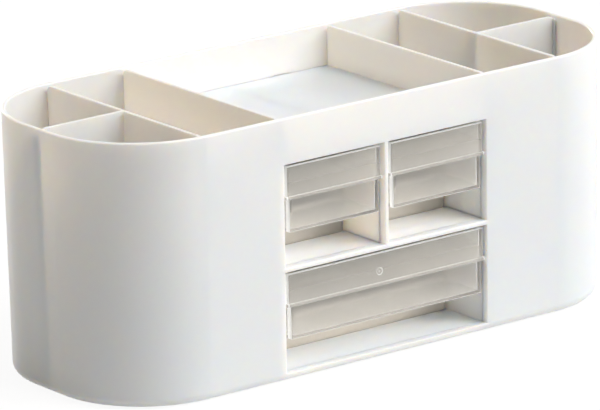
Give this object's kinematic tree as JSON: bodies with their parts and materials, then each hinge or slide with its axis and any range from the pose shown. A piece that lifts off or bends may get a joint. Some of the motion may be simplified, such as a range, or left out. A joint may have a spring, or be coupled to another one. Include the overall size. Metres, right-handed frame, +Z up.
{
  "type": "brush holder with drawers",
  "caption": "Oblong desktop brush holder with rounded ends, open upright compartments, a shallow top tray and clear stepped drawers with finger recesses below it.",
  "frame": {"origin": "on the surface it stands on, under the middle of the holder", "axes": "+X along the length, -Y out of the drawers' front, +Z up"},
  "size_m": [0.292, 0.118, 0.1206],
  "materials": {
    "shell": "smooth moulded, satin",
    "fittings": "smooth moulded, satin",
    "clear_drawer": "clear moulded, glossy",
    "feet": "matt"
  },
  "bodies": {
    "holder": {"outer_shell": "shell", "cabinet_housing": "fittings", "middle_shelf": "fittings", "centre_partition": "fittings", "left_cross_divider": "fittings", "right_cross_divider": "fittings", "anti_slip_feet": "feet"},
    "left_drawer": {"upper_left_drawer": "clear_drawer"},
    "right_drawer": {"upper_right_drawer": "clear_drawer"},
    "wide_drawer": {"lower_drawer": "clear_drawer"}
  },
  "joints": [
    {"name": "upper_left_drawer_slide", "type": "slide", "parent": "holder", "child": "left_drawer", "axis": [0, -1, 0], "range_m": [0, 0.08]},
    {"name": "upper_right_drawer_slide", "type": "slide", "parent": "holder", "child": "right_drawer", "axis": [0, -1, 0], "range_m": [0, 0.08]},
    {"name": "lower_drawer_slide", "type": "slide", "parent": "holder", "child": "wide_drawer", "axis": [0, -1, 0], "range_m": [0, 0.08]}
  ]
}
